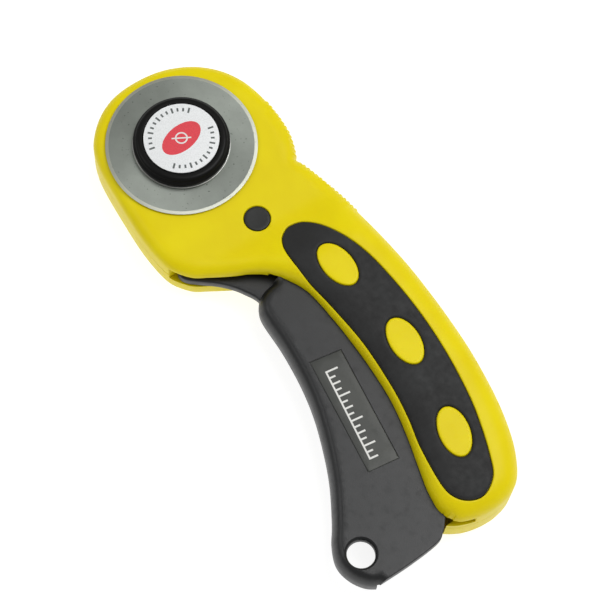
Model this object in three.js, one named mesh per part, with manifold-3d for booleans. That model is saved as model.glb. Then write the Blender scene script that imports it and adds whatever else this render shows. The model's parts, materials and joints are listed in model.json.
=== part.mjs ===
// Squeeze-trigger rotary cutter with a 45 mm blade.
// Millimetres. +X runs along the handle towards its tail, +Y towards the finger-rest back,
// +Z up through the blade clamp. The origin is the blade axis at the flat face of the rear nut.

import * as THREE from 'three';
import { mergeVertices } from 'three/addons/utils/BufferGeometryUtils.js';
import Module from 'manifold-3d';

const wasm = await Module();
wasm.setup();

// ---------------------------------------------------------------- driving dimensions

const GAP = 0.3;               // air between pieces that touch on the real object
const TOP = 25.3;              // height over the knob label
const PARTING = 12.2;          // plane where the two shells meet
const HEAD_HALF = 8.1;         // half thickness of the head
const HANDLE_HALF = 10.8;      // half thickness of the handle shells
const GRIP_HALF = 12.2;        // half thickness over the two rubber grips
const INNER_HALF = 6.0;        // half height of the hollow inside the shells
const WALL = 2.2;              // shell side wall
const HEAD_RIM = 2.4;          // rounding round the head
const HANDLE_RIM = [3.6, 3.4]; // rounding round the handle, across and down
const GRIP_SEAT = 1.3;         // depth of the grips' pockets in the handle's face
const THROAT_FRONT = 4.6;      // how far the arm's slot reaches into the front shell
const THROAT_REAR = 2.2;       // and into the rear shell
const SLOT_HALF = 5.9;         // half height of the slot that the trigger works in
const ROOT = 0.5;              // how far joined solids run into each other
const CLEAR = 20;              // how far a cutting solid runs past the part

const BLADE_R = 22.5;
const BLADE_BORE_R = 4.0;
const BLADE_Z = 20.7;
const BLADE_T = 0.3;
const BEVEL_W = 1.6;           // width of the sharpened rim
const BOLT_R = 3.0;
const BOLT_END_R = 2.4;        // threaded end in the nut
const BOLT_END_Z = 1.3;
const KNOB_R = 14.35;
const KNOB_Z = 22.0;
const WASHER_R = 14.95;
const LABEL_R = 11.5;
const NUT_R = 10.0;
const NUT_H = 3.0;
const NUT_GROOVES = 16;
const NUT_GROOVE_R = 0.8;
const INSERT_R = 5.0;          // hexagon in the nut, over its corners

const PIVOT = [35.0, -4.5];    // lever pivot
const PIN_R = 2.0;
const PIN_HALF = 4.6;          // half length of the pivot pin
const PIVOT_BOSS_R = 3.4;
const TRAVEL = THREE.MathUtils.degToRad(8);
const SPRING_POSTS = [[27.5, -4.3], [42.5, 1.1]];   // on the shell, on the lever
const ARM_HALF = 1.7;          // half thickness of the arm
const TRIGGER_HALF = 5.5;      // half thickness of the trigger
const TRIGGER_PLATE = 3.0;     // thickness of the trigger's front plate
const LEVER_BOSS_R = 8.0;
const LEVER_BOSS_HALF = 5.6;
const RIB_X = [68, 84, 100, 116];
const RIB_HALF = 0.8;
const SPRING_R = 4.5;
const SPRING_WIRE_R = 0.38;
const SPRING_TURNS = 3;

const BUTTON = [31.8, 5.2];    // lock button axis
const BUTTON_R = 4.04;
const BUTTON_TRAVEL = 3.2;
const LUG = [3.2, 1.0];        // half length and half width of the locking lug
const NECK_R = 0.95;           // stem that runs through the lever

const HANG_HOLE = [130.4, -27.5];
const HANG_HOLE_R = 4.05;

const SCREWS = [[24.0, 18.5], [-16.0, 14.5], [132.5, 20.3], [14.0, -19.3]];
const SCREW_HEAD_R = 2.5;
const SCREW_SHANK_R = 1.25;
const SCREW_SEAT_Z = PARTING - 4.9;
const SCREW_END_Z = PARTING + 4.2;
const BOSS_R = 3.1;

// raised islands in the grips: centre x, centre y, tilt in degrees
const ISLANDS = [[57.9, 15.4, 5], [87.9, 17.65, -5], [117.65, 13.3, -15]];
const ISLAND_SIZE = [7.65, 4.5];

// ---------------------------------------------------------------- outlines

// the shells' outline, as stretches that meet at corners
const HEAD_BACK = [
  [21.8, 26], [19, 27.5], [14, 29.3], [9, 29.9], [3, 29.9], [-3, 29.2], [-9, 27.5], [-15, 24.1],
  [-20.3, 18.7], [-24, 11.9], [-25.8, 5], [-26.1, -3], [-24.8, -9.6], [-21.4, -15.7],
  [-16.1, -20.8], [-10.3, -23.2], [-4.1, -24.3], [5, -25.1], [15, -25.7], [21.1, -25.6],
  [26.2, -25.1], [29.9, -24.2], [33, -22.4], [35.9, -19.9], [38, -16.6], [40.2, -13], [42.2, -9.5],
  [43.9, -6], [46.5, -2.3], [49, -0.1], [51.5, 1.6], [58.5, 4.7], [69.7, 5.9], [79.7, 6.2],
  [89.7, 6], [99.7, 5.1], [109.7, 2.9], [119.7, 0], [127, -2], [136.4, -3.2],
];
const TAIL_AND_BACK = [
  [136.4, -3.2], [138.7, 0.1], [140.5, 4.7], [141.3, 9.4], [141.2, 13.6], [139.9, 18.2],
  [136.7, 22.2], [129.2, 26.5], [119.1, 29.8], [109, 31.8], [99, 33.1], [89, 33.7], [79, 33.9],
  [69, 33.7], [59, 32.9], [49, 31.7], [39, 30.6], [30, 28.6], [24, 26.9], [21.8, 26],
];

// nose that closes the thicker handle part of the shells behind the head
const HANDLE_NOSE = [[44, 31.3], [37, 25], [34.5, 15], [36.5, 5], [44.5, -4.0]];

// outline of the rubber grip, widest at its middle
const GRIP = [
  [39.2, 12.1], [40.6, 15.8], [45.6, 19.8], [56.1, 23.8], [66.1, 25.6], [81.1, 26.4], [96.1, 25.6],
  [111.1, 23.2], [121.1, 20.4], [129.1, 17.4], [134.1, 14.8], [137, 10.4], [136.7, 6.2],
  [133.6, 2.6], [128.1, 1.4], [116.1, 3.1], [106.1, 5.6], [96.1, 7.2], [81.1, 8], [66.1, 7],
  [56.1, 5.8], [46.6, 5.5], [41.8, 7], [39.6, 9.7],
];

const TRIGGER_FINGER_SIDE = [
  [49.6, -1.5], [50.1, -4.6], [51.6, -7.5], [54, -9.3], [57.5, -10.2], [68, -10.6], [79, -12],
  [88.8, -14.3], [98.6, -17.9], [108.1, -22.3], [117.8, -28.3], [123, -32.1], [128.4, -34.4],
  [133.5, -33.8], [137.9, -31.3], [140.3, -28.2],
];
const TRIGGER_TAIL = [[140.3, -28.2], [140.5, -18], [139.9, -8], [138.2, -4.9], [135.2, -1.8]];
const TRIGGER_INNER_SIDE = [
  [135.2, -1.8], [128, 3.6], [115, 7.5], [100, 10.5], [80, 12], [62, 11.2], [52, 9.6], [49.4, 6],
  [49.6, -1.5],
];
const TRIGGER_POCKET = [
  [54.5, -3], [56.5, -6], [64.5, -7.4], [79, -8.6], [88.8, -10.9], [98.6, -14.4],
  [108.3, -18.4], [118.1, -24.2], [123.5, -28.4], [128.5, -31.5], [133, -31.0], [136, -27.8],
  [146, -27.6], [146, -3], [136.5, -3], [127, 1.2], [115, 5.2], [100, 8.2], [80, 9.8],
  [62, 9.0], [55.5, 6.5],
];
const ARM_FINGER_SIDE = [
  [58, -8.6], [51.5, -7.4], [46.4, -9.6], [42.6, -12.2], [39.6, -15.1], [37, -18.2], [34.4, -21.1],
  [32.6, -22.2], [31, -22.3], [29.6, -21], [27.4, -19], [24, -15.6], [18, -11.4], [10, -8.8],
  [4, -7.2],
];
const ARM_BACK_SIDE = [
  [4, 7.2], [12, 9.4], [20, 11.4], [28, 12.7], [36, 12.7], [45, 10.6], [58, 9.5],
];

// openings in the shells' side wall
const THROAT_BAND = [
  [29.2, -28], [52, -16], [55, 3], [50, 3.6], [46, 0.6], [42.6, -3], [40.4, -8], [37.4, -13],
  [33, -18.5], [29.6, -20.8],
];
const TRIGGER_BAND = [
  [47.2, -9], [47.2, 5.5], [60, 9], [85, 10], [110, 7], [128, 6], [133, 8.6], [136.9, 8.6],
  [136.9, -9],
];
// thin opening in the tail wall of the front shell, which the trigger's front plate swings into
const TAIL_BAND = [[136.8, -9], [136.8, 8.6], [139.6, 8.6], [139.8, 6], [146, 5.6], [146, -9]];

// ---------------------------------------------------------------- helpers

const flat = (points) => points.map(([x, y]) => new THREE.Vector2(x, y));

const smooth = (points, count) => new THREE.SplineCurve(flat(points)).getPoints(count);

function joined(stretches) {
  return stretches.flatMap(([points, count]) => smooth(points, count).slice(0, -1));
}

function ring(points, count) {
  return smooth([...points, points[0]], count).slice(0, -1);
}

// moves every point of a counter-clockwise loop inwards
function inset(loop, distance) {
  return loop.map((point, i) => {
    const before = loop[(i + loop.length - 1) % loop.length];
    const after = loop[(i + 1) % loop.length];
    const along = after.clone().sub(before).normalize();
    return new THREE.Vector2(point.x - along.y * distance, point.y + along.x * distance);
  });
}

function turned([x, y], [cx, cy], angle) {
  const point = new THREE.Vector2(x, y).rotateAround(new THREE.Vector2(cx, cy), angle);
  return [point.x, point.y];
}

function asSolid(geometry) {
  geometry.deleteAttribute('normal');
  geometry.deleteAttribute('uv');
  const merged = mergeVertices(geometry, 1e-5);
  return new wasm.Manifold(new wasm.Mesh({
    numProp: 3,
    vertProperties: new Float32Array(merged.attributes.position.array),
    triVerts: new Uint32Array(merged.index.array),
  }));
}

function asGeometry(solid) {
  const mesh = solid.getMesh();
  const geometry = new THREE.BufferGeometry();
  geometry.setAttribute('position', new THREE.BufferAttribute(mesh.vertProperties, 3));
  geometry.setIndex(new THREE.BufferAttribute(mesh.triVerts, 1));
  return geometry;
}

// prism over a loop from z0 to z1, with rounded rims where edge is not 0
function prism(loop, z0, z1, edge = 0, depth = edge, holes = []) {
  const shape = new THREE.Shape(loop);
  shape.holes = holes.map((hole) => new THREE.Path(hole));
  const geometry = new THREE.ExtrudeGeometry(shape, {
    depth: z1 - z0 - 2 * depth,
    bevelEnabled: edge > 0,
    bevelSize: edge,
    bevelOffset: -edge,
    bevelThickness: depth,
    bevelSegments: 2,
  });
  geometry.translate(0, 0, z0 + depth);
  return asSolid(geometry);
}

// turned solid about +Z at [x, y], from a closed profile of [radius, z]
function lathe(profile, segments = 48, [x, y] = [0, 0]) {
  const geometry = new THREE.LatheGeometry(flat(profile), segments);
  geometry.rotateX(Math.PI / 2);
  geometry.translate(x, y, 0);
  return asSolid(geometry);
}

function rod(radius, z0, z1, centre = [0, 0], segments = 20) {
  return lathe([[0, z0], [radius, z0], [radius, z1], [0, z1]], segments, centre);
}

function ellipse([x, y], [a, b], tilt, z0, z1) {
  const curve = new THREE.EllipseCurve(x, y, a, b, 0, 2 * Math.PI, false, tilt);
  return prism(curve.getPoints(24).slice(0, -1), z0, z1);
}

// slot that a rod of the given half width sweeps as the lever turns
function leverSlot(centre, halfWidth, z0, z1) {
  const arm = new THREE.Vector2(centre[0] - PIVOT[0], centre[1] - PIVOT[1]);
  const start = arm.angle();
  const end = start + TRAVEL;
  const shape = new THREE.Shape();
  const [endX, endY] = turned(centre, PIVOT, TRAVEL);
  shape.absarc(...PIVOT, arm.length() + halfWidth, start, end, false);
  shape.absarc(endX, endY, halfWidth, end, end + Math.PI, false);
  shape.absarc(...PIVOT, arm.length() - halfWidth, end, start, true);
  shape.absarc(...centre, halfWidth, start + Math.PI, start + 2 * Math.PI, false);
  return prism(shape.getPoints(10).slice(0, -1), z0, z1);
}

// upright box between two corners
const block = ([x0, y0], [x1, y1], z0, z1) => prism(
  flat([[x0, y0], [x1, y0], [x1, y1], [x0, y1]]), z0, z1,
);

const all = (solids) => solids.reduce((sum, solid) => sum.add(solid));

const cutAll = (solid, cutters) => cutters.reduce((rest, cutter) => rest.subtract(cutter), solid);

// the two shells are mirror images about the parting plane, so both are made as the front one
const mirrored = (solid) => solid.translate([0, 0, -PARTING]).mirror([0, 0, 1])
  .translate([0, 0, PARTING]);

// ---------------------------------------------------------------- shells and grips

// the rim's rounding needs straight runs either side of the sharp corner at the tail
const tailCorner = new THREE.Vector2(...TAIL_AND_BACK[0]);
const bodyLoop = joined([[HEAD_BACK, 84], [TAIL_AND_BACK, 38]]).filter((point) => {
  const reach = point.distanceTo(tailCorner);
  return reach < 0.01 || reach > 3.2;
});

// the outline behind the nose, closed by the nose
function handleLoop() {
  const [noseBack, noseFinger] = [HANDLE_NOSE[0], HANDLE_NOSE.at(-1)];
  const behind = bodyLoop.filter(({ x, y }) => (
    x > noseBack[0] + 0.4 && (y > noseFinger[1] + 0.6 || x > TAIL_AND_BACK[0][0] - 30)
  ));
  const openWidth = (noseBack[1] - noseFinger[1]) / 2;
  const start = behind.findIndex((point, i) => (
    point.distanceTo(behind[(i + behind.length - 1) % behind.length]) > openWidth
  ));
  const loop = [...behind.slice(start), ...behind.slice(0, start)];
  return [...loop, ...smooth(HANDLE_NOSE, 14).slice(1, -1)];
}

function islandLoop([x, y, tilt], grow = 0) {
  const [a, b] = ISLAND_SIZE;
  const curve = new THREE.EllipseCurve(
    x, y, a + grow, b + grow, 0, 2 * Math.PI, false, THREE.MathUtils.degToRad(tilt),
  );
  return curve.getPoints(20).slice(0, -1);
}

const gripLoop = ring(GRIP, 52);
if (THREE.ShapeUtils.isClockWise(gripLoop)) gripLoop.reverse();

// half shell from the parting plane up, before anything that differs front to rear
function halfShell(throatHeight) {
  const below = PARTING - CLEAR;
  const above = PARTING + CLEAR;
  const pocketFloor = PARTING + HANDLE_HALF - GRIP_SEAT;
  const bossTop = PARTING + INNER_HALF + ROOT;
  const half = block([-60, -60], [200, 60], PARTING + GAP / 2, above);
  const head = prism(bodyLoop, below, PARTING + HEAD_HALF, HEAD_RIM);
  const handle = prism(handleLoop(), below, PARTING + HANDLE_HALF, ...HANDLE_RIM);
  const hollow = prism(inset(bodyLoop, WALL), below, PARTING + INNER_HALF);
  const pocket = prism(gripLoop, pocketFloor, above);
  const islands = ISLANDS.map((island) => (
    prism(islandLoop(island), pocketFloor - ROOT, PARTING + GRIP_HALF - 0.25, 0.5)
  ));
  const bosses = SCREWS.map((at) => rod(BOSS_R, PARTING, bossTop, at));
  const pivotBoss = rod(PIVOT_BOSS_R, PARTING + ARM_HALF + GAP, bossTop, PIVOT);
  const throat = prism(flat(THROAT_BAND), below, PARTING + throatHeight);
  const slot = prism(flat(TRIGGER_BAND), below, PARTING + SLOT_HALF);
  const body = cutAll(head.add(handle), [hollow, throat, slot, pocket]);
  return cutAll(all([body, ...islands, ...bosses, pivotBoss]).intersect(half), [
    leverSlot([0, 0], BOLT_R + 0.4, PARTING, above),
    rod(BUTTON_R + GAP, PARTING, above, BUTTON, 28),
    rod(PIN_R + GAP, PARTING - 1, PARTING + INNER_HALF, PIVOT),
  ]);
}

function frontShell() {
  const postFoot = PARTING + ARM_HALF + GAP;
  const springPost = rod(1.0, postFoot, PARTING + INNER_HALF + ROOT, SPRING_POSTS[0], 16);
  const tailSlot = prism(
    flat(TAIL_BAND), PARTING + TRIGGER_HALF - TRIGGER_PLATE - GAP, PARTING + SLOT_HALF,
  );
  const pilots = SCREWS.map((at) => rod(SCREW_SHANK_R + GAP, 0, SCREW_END_Z + 0.4, at));
  return cutAll(halfShell(THROAT_FRONT).add(springPost), [tailSlot, ...pilots]);
}

function rearShell() {
  const seats = SCREWS.flatMap((at) => [
    rod(SCREW_SHANK_R + GAP, 0, PARTING, at),
    rod(SCREW_HEAD_R + GAP, -1, SCREW_SEAT_Z, at),
  ]);
  return cutAll(mirrored(halfShell(THROAT_REAR)), seats);
}

function frontGrip() {
  const holes = ISLANDS.map((island) => islandLoop(island, GAP));
  const floor = PARTING + HANDLE_HALF - GRIP_SEAT + GAP;
  return prism(inset(gripLoop, GAP), floor - 1.1, PARTING + GRIP_HALF, 1.0, 1.1, holes)
    .intersect(block([0, -60], [200, 60], floor, floor + CLEAR));
}

// ---------------------------------------------------------------- lever

function triggerBlock() {
  const loop = joined([[TRIGGER_FINGER_SIDE, 36], [TRIGGER_TAIL, 8], [TRIGGER_INNER_SIDE, 16]]);
  if (THREE.ShapeUtils.isClockWise(loop)) loop.reverse();
  // the rim is rounded except at the tail, where the rounded loop runs past the block
  const pastTail = [[150, -20], [150, -2]];
  const innerStart = [135, 3];
  const rounded = joined([
    [TRIGGER_FINGER_SIDE.slice(0, -1), 34],
    [[TRIGGER_FINGER_SIDE.at(-2), ...pastTail, innerStart], 4],
    [[innerStart, ...TRIGGER_INNER_SIDE.slice(1)], 16],
  ]);
  if (THREE.ShapeUtils.isClockWise(rounded)) rounded.reverse();
  const z0 = PARTING - TRIGGER_HALF;
  const z1 = PARTING + TRIGGER_HALF;
  return prism(rounded, z0, z1, 2.2, 3.6).intersect(prism(loop, z0 - 1, z1 + 1));
}

function triggerLever() {
  const faceZ = PARTING + TRIGGER_HALF;
  const plateUnderside = faceZ - TRIGGER_PLATE;
  const bottom = PARTING - TRIGGER_HALF - 1;
  const armLoop = [...smooth(ARM_FINGER_SIDE, 26), ...smooth(ARM_BACK_SIDE, 10)];
  if (THREE.ShapeUtils.isClockWise(armLoop)) armLoop.reverse();
  const ribs = RIB_X.map((x) => (
    block([x - RIB_HALF, -40], [x + RIB_HALF, 20], PARTING - 3.5, plateUnderside + ROOT)
  ));
  const moulding = triggerBlock();
  const hollowed = moulding.subtract(prism(flat(TRIGGER_POCKET), bottom, plateUnderside));
  const ribbed = hollowed.add(all(ribs).intersect(moulding));
  const arm = prism(armLoop, PARTING - ARM_HALF, PARTING + ARM_HALF);
  const boss = rod(LEVER_BOSS_R, PARTING - LEVER_BOSS_HALF, PARTING + LEVER_BOSS_HALF, [0, 0], 36);
  const springPost = rod(1.2, PARTING, PARTING + 5.0, SPRING_POSTS[1], 16);
  const lugAngle = Math.atan2(BUTTON[1] - PIVOT[1], BUTTON[0] - PIVOT[0]);
  const seats = [0, -TRAVEL].map((angle) => ellipse(
    turned(BUTTON, PIVOT, angle), [LUG[0] + GAP, LUG[1] + GAP], lugAngle + angle, 0, 20,
  ));
  return cutAll(all([ribbed, arm, boss, springPost]), [
    ...seats,
    rod(BOLT_R + GAP, 0, TOP),
    rod(PIN_R + GAP, 0, TOP, PIVOT),
    rod(HANG_HOLE_R, 0, TOP, HANG_HOLE, 32),
    lathe([[0, faceZ - 1], [HANG_HOLE_R - 0.4, faceZ - 1], [HANG_HOLE_R + 1.1, faceZ + 0.5],
      [0, faceZ + 0.5]], 32, HANG_HOLE),
  ]);
}

// steel torsion spring round the pivot boss, one leg on the shell's post, one on the lever's
function returnSpring() {
  const [start, end] = [110, 110 - SPRING_TURNS * 360].map(THREE.MathUtils.degToRad);
  const [zStart, zEnd] = [PARTING + 5.2, PARTING + 2.5];
  const place = (angle, along, z) => new THREE.Vector3(
    PIVOT[0] + SPRING_R * Math.cos(angle) + along * Math.sin(angle),
    PIVOT[1] + SPRING_R * Math.sin(angle) - along * Math.cos(angle),
    z,
  );
  const points = [place(start, -8, zStart), place(start, -3, zStart)];
  const steps = 36;
  for (let i = 0; i <= steps; i += 1) {
    const t = i / steps;
    points.push(place(start + (end - start) * t, 0, zStart + (zEnd - zStart) * t));
  }
  points.push(place(end, 3, zEnd), place(end, 11, zEnd));
  const wire = new THREE.EllipseCurve(0, 0, SPRING_WIRE_R, SPRING_WIRE_R);
  const section = new THREE.Shape(wire.getPoints(6).slice(0, -1));
  return asSolid(new THREE.ExtrudeGeometry(section, {
    steps: 76,
    bevelEnabled: false,
    extrudePath: new THREE.CatmullRomCurve3(points),
  }));
}

function lockButton() {
  const lugZ = PARTING + ARM_HALF + 0.4;
  const lugAngle = Math.atan2(BUTTON[1] - PIVOT[1], BUTTON[0] - PIVOT[0]);
  const headZ = lugZ + 3.1;
  const rearHeadZ = PARTING - 2.7;
  const faceZ = PARTING + HEAD_HALF;
  const rearFace = PARTING - HEAD_HALF + BUTTON_TRAVEL;
  return all([
    lathe([[0, headZ], [BUTTON_R, headZ], [BUTTON_R, faceZ - 0.4], [BUTTON_R - 0.5, faceZ],
      [2.6, faceZ - 0.1], [0, faceZ - 0.25]], 28, BUTTON),
    ellipse(BUTTON, LUG, lugAngle, lugZ, headZ + 0.2),
    rod(NECK_R, rearHeadZ - 0.2, lugZ + 0.2, BUTTON, 20),
    lathe([[0, rearFace], [BUTTON_R - 0.5, rearFace], [BUTTON_R, rearFace + 0.4],
      [BUTTON_R, rearHeadZ], [0, rearHeadZ]], 28, BUTTON),
  ]);
}

// ---------------------------------------------------------------- blade and clamp

function blade() {
  const top = BLADE_Z + BLADE_T;
  const rim = BLADE_R - BEVEL_W;
  return lathe([[BLADE_BORE_R, BLADE_Z], [rim, BLADE_Z], [BLADE_R, BLADE_Z + BLADE_T / 2],
    [rim, top], [BLADE_BORE_R, top], [BLADE_BORE_R, BLADE_Z]], 72);
}

function bladeWasher() {
  const z = BLADE_Z + BLADE_T + GAP;
  return lathe([[3.8, z], [WASHER_R, z], [WASHER_R, z + 0.25], [WASHER_R - 0.25, z + 0.4],
    [3.8, z + 0.4], [3.8, z]], 48);
}

function clampKnob() {
  const rimTop = KNOB_Z + 3.0;
  return lathe([[3.5, KNOB_Z], [KNOB_R - 0.5, KNOB_Z], [KNOB_R, KNOB_Z + 0.5],
    [KNOB_R, KNOB_Z + 1.5], [KNOB_R - 0.5, KNOB_Z + 2.0], [KNOB_R - 0.8, KNOB_Z + 2.7],
    [KNOB_R - 1.4, rimTop],
    [LABEL_R + GAP + 0.3, rimTop], [LABEL_R + GAP, rimTop - 0.3], [0, rimTop - 0.3],
    [0, KNOB_Z + 1.6], [3.5, KNOB_Z + 1.6], [3.5, KNOB_Z]], 48);
}

function knobLabel() {
  return lathe([[0, TOP - 0.3], [LABEL_R, TOP - 0.3], [LABEL_R, TOP - 0.1], [LABEL_R - 0.2, TOP],
    [0, TOP]], 48);
}

function bladeBolt() {
  const shoulder = rod(3.2, BLADE_Z - GAP, KNOB_Z + 1.3);
  const shankZ = NUT_H + 1.3;
  return all([
    rod(BOLT_R, shankZ, BLADE_Z), shoulder, rod(BOLT_END_R, BOLT_END_Z, shankZ + 0.2),
  ]);
}

function waveWasher() {
  return lathe([[3.4, NUT_H + 0.3], [7.6, NUT_H + 0.3], [7.6, NUT_H + 0.65], [3.4, NUT_H + 0.65],
    [3.4, NUT_H + 0.3]], 32);
}

function nutInsert() {
  const hexagon = new THREE.EllipseCurve(0, 0, INSERT_R, INSERT_R).getPoints(6).slice(0, -1);
  return prism(hexagon, BOLT_END_Z, NUT_H).subtract(rod(BOLT_END_R + GAP, 0, CLEAR));
}

function rearNut() {
  const body = lathe([[0, 0], [NUT_R - 0.8, 0], [NUT_R, 0.8], [NUT_R, NUT_H - 0.4],
    [NUT_R - 0.4, NUT_H], [0, NUT_H]], 48);
  const seatR = INSERT_R + GAP + 0.05;
  const seat = new THREE.EllipseCurve(0, 0, seatR, seatR).getPoints(6).slice(0, -1);
  const grooves = Array.from({ length: NUT_GROOVES }, (_, i) => {
    const angle = (i / NUT_GROOVES) * 2 * Math.PI;
    const reach = NUT_R + 0.35;
    const at = [reach * Math.cos(angle), reach * Math.sin(angle)];
    return rod(NUT_GROOVE_R, -1, NUT_H + 2, at, 8);
  });
  return cutAll(body, [prism(seat, BOLT_END_Z - GAP, NUT_H + 2), ...grooves]);
}

// ---------------------------------------------------------------- fasteners

function pivotPin() {
  return rod(PIN_R, PARTING - PIN_HALF, PARTING + PIN_HALF, PIVOT, 24);
}

function shellScrew(at) {
  const underHeadZ = SCREW_SEAT_Z - GAP;
  const headZ = underHeadZ - 1.8;
  const cross = all([[1.3, 0.25], [0.25, 1.3]].map(([a, b]) => (
    block([-a, -b], [a, b], headZ - 1, headZ + 0.8)
  )));
  const screw = lathe([[0, headZ], [SCREW_HEAD_R - 0.9, headZ], [SCREW_HEAD_R, headZ + 0.7],
    [SCREW_HEAD_R, underHeadZ], [SCREW_SHANK_R, underHeadZ], [SCREW_SHANK_R, SCREW_END_Z - 1],
    [0.4, SCREW_END_Z], [0, SCREW_END_Z]], 16);
  return screw.subtract(cross).translate([...at, 0]);
}

// ---------------------------------------------------------------- assembly

const yellow = { color: '#e2cf12', roughness: 0.38, metalness: 0 };
const rubber = { color: '#343434', roughness: 0.75, metalness: 0 };
const blackPlastic = { color: '#3a3c3d', roughness: 0.55, metalness: 0 };
const glossBlack = { color: '#1b1a17', roughness: 0.3, metalness: 0 };
const steel = { color: '#8d928c', roughness: 0.32, metalness: 1 };
const label = { color: '#eef2f2', roughness: 0.4, metalness: 0 };

const group = new THREE.Group();

function add(name, solid, finish) {
  const mesh = new THREE.Mesh(asGeometry(solid), new THREE.MeshStandardMaterial(finish));
  mesh.name = name;
  group.add(mesh);
}

add('front_shell', frontShell(), yellow);
add('rear_shell', rearShell(), yellow);
add('front_grip', frontGrip(), rubber);
add('rear_grip', mirrored(frontGrip()), rubber);
add('trigger_lever', triggerLever(), blackPlastic);
add('return_spring', returnSpring(), steel);
add('pivot_pin', pivotPin(), steel);
add('lock_button', lockButton(), blackPlastic);
add('blade', blade(), steel);
add('blade_washer', bladeWasher(), steel);
add('clamp_knob', clampKnob(), glossBlack);
add('knob_label', knobLabel(), label);
add('blade_bolt', bladeBolt(), steel);
add('wave_washer', waveWasher(), steel);
add('rear_nut', rearNut(), glossBlack);
add('nut_insert', nutInsert(), steel);
SCREWS.forEach((at, i) => add(`shell_screw_${i + 1}`, shellScrew(at), steel));

export default group;
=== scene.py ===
import json
import math

import bpy
import numpy as np
from mathutils import Matrix, Vector
from mathutils.geometry import delaunay_2d_cdt


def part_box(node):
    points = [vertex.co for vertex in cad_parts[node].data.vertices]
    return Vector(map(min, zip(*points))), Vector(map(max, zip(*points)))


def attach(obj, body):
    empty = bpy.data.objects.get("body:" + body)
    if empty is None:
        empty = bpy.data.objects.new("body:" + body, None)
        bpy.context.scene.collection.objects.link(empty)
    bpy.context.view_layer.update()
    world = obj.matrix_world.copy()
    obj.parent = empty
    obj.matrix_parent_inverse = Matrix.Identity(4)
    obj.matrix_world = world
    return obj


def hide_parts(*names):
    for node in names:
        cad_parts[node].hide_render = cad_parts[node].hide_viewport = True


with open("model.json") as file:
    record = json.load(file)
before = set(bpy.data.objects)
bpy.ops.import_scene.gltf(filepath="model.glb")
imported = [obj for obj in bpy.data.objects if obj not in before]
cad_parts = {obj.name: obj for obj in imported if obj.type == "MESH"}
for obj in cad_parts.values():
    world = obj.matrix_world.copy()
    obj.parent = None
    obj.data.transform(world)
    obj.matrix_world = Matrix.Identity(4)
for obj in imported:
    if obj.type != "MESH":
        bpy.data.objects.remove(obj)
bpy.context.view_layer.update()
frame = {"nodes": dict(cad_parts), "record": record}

# ---------------------------------------------------------------- sizes, in millimetres

MM = 0.001


def span(node, axis):
    """Lowest and highest place of a CAD node along an axis, in millimetres."""
    low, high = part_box(node)
    return low[axis] / MM, high[axis] / MM


def joint_place(name):
    joint = next(j for j in frame["record"]["behaviour"]["joints"] if j["name"] == name)
    return [value / MM for value in joint["pos_m"]]


PARTING = sum(span("trigger_lever", 2)) / 2      # plane where the shells meet
GRIP_TOP = span("front_grip", 2)[1] - PARTING    # heights from here on count from the parting plane
TRIGGER_HALF = span("trigger_lever", 2)[1] - PARTING
PIVOT = np.array(joint_place("lever_squeeze")[:2])
BUTTON = np.array([sum(span("lock_button", axis)) / 2 for axis in (0, 1)])
BUTTON_LOOK_R = (span("lock_button", 0)[1] - span("lock_button", 0)[0]) / 2 - 0.17
LUG_TURN = math.degrees(math.atan2(*(BUTTON - PIVOT)[::-1]))     # the lug points at the pivot
SQUEEZE = math.radians(8)

HEAD_TOP = 7.95
HEAD_FRONT = (4.4, 4.2)    # height where the side wall starts to round over, and width of that rim
HEAD_REAR = (6.3, 2.0)
HANDLE_TOP = GRIP_TOP - 0.35
HANDLE_FRONT = (5.4, 9.0)
HANDLE_REAR = (6.8, 8.0)
CORNER_BLEND = 6.0         # softens the ridge that runs in from the tail's corner
SHELL_GAP = 0.12           # half the joint line between the shells
WALL = 2.2
HOLLOW_TOP = 6.0
THROAT_FRONT = 4.6         # how far the arm's slot reaches into the front shell
THROAT_REAR = 2.2          # and into the rear shell
SLOT_TOP = 5.9             # height of the slot that the trigger works in
POCKET = 1.3               # depth of the grip's pocket
ARM_HALF = 1.7
PLATE = 3.0                # thickness of the trigger's front plate
PIVOT_HOLE_R = 2.3
PIVOT_BOSS_R = 3.4
BOLT_SLOT_R = 3.4
SCREW_BOSS_R = 3.1
SCREW_HOLE_R = 1.55
SCREW_SEAT = 4.9
RIB_X = (68, 84, 100, 116) # ribs behind the trigger's plate
SPRING_POST = (42.5, 1.1)
BELOW, ABOVE = -5, 20      # where cutting pieces for a half shell start and end
PAST = 20                  # how far cutting pieces run past the lever, either way
HANG_HOLE = (130.4, -27.5)
HANG_HOLE_R = 4.05
ISLANDS = [(57.9, 15.4, 5), (87.9, 17.65, -5), (117.65, 13.3, -15)]
ISLAND_SIZE = (7.65, 4.5)
SCREWS = [[sum(span(f"shell_screw_{i}", axis)) / 2 for axis in (0, 1)] for i in range(1, 5)]

FINE = 0.8                 # spacing of outline points

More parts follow.
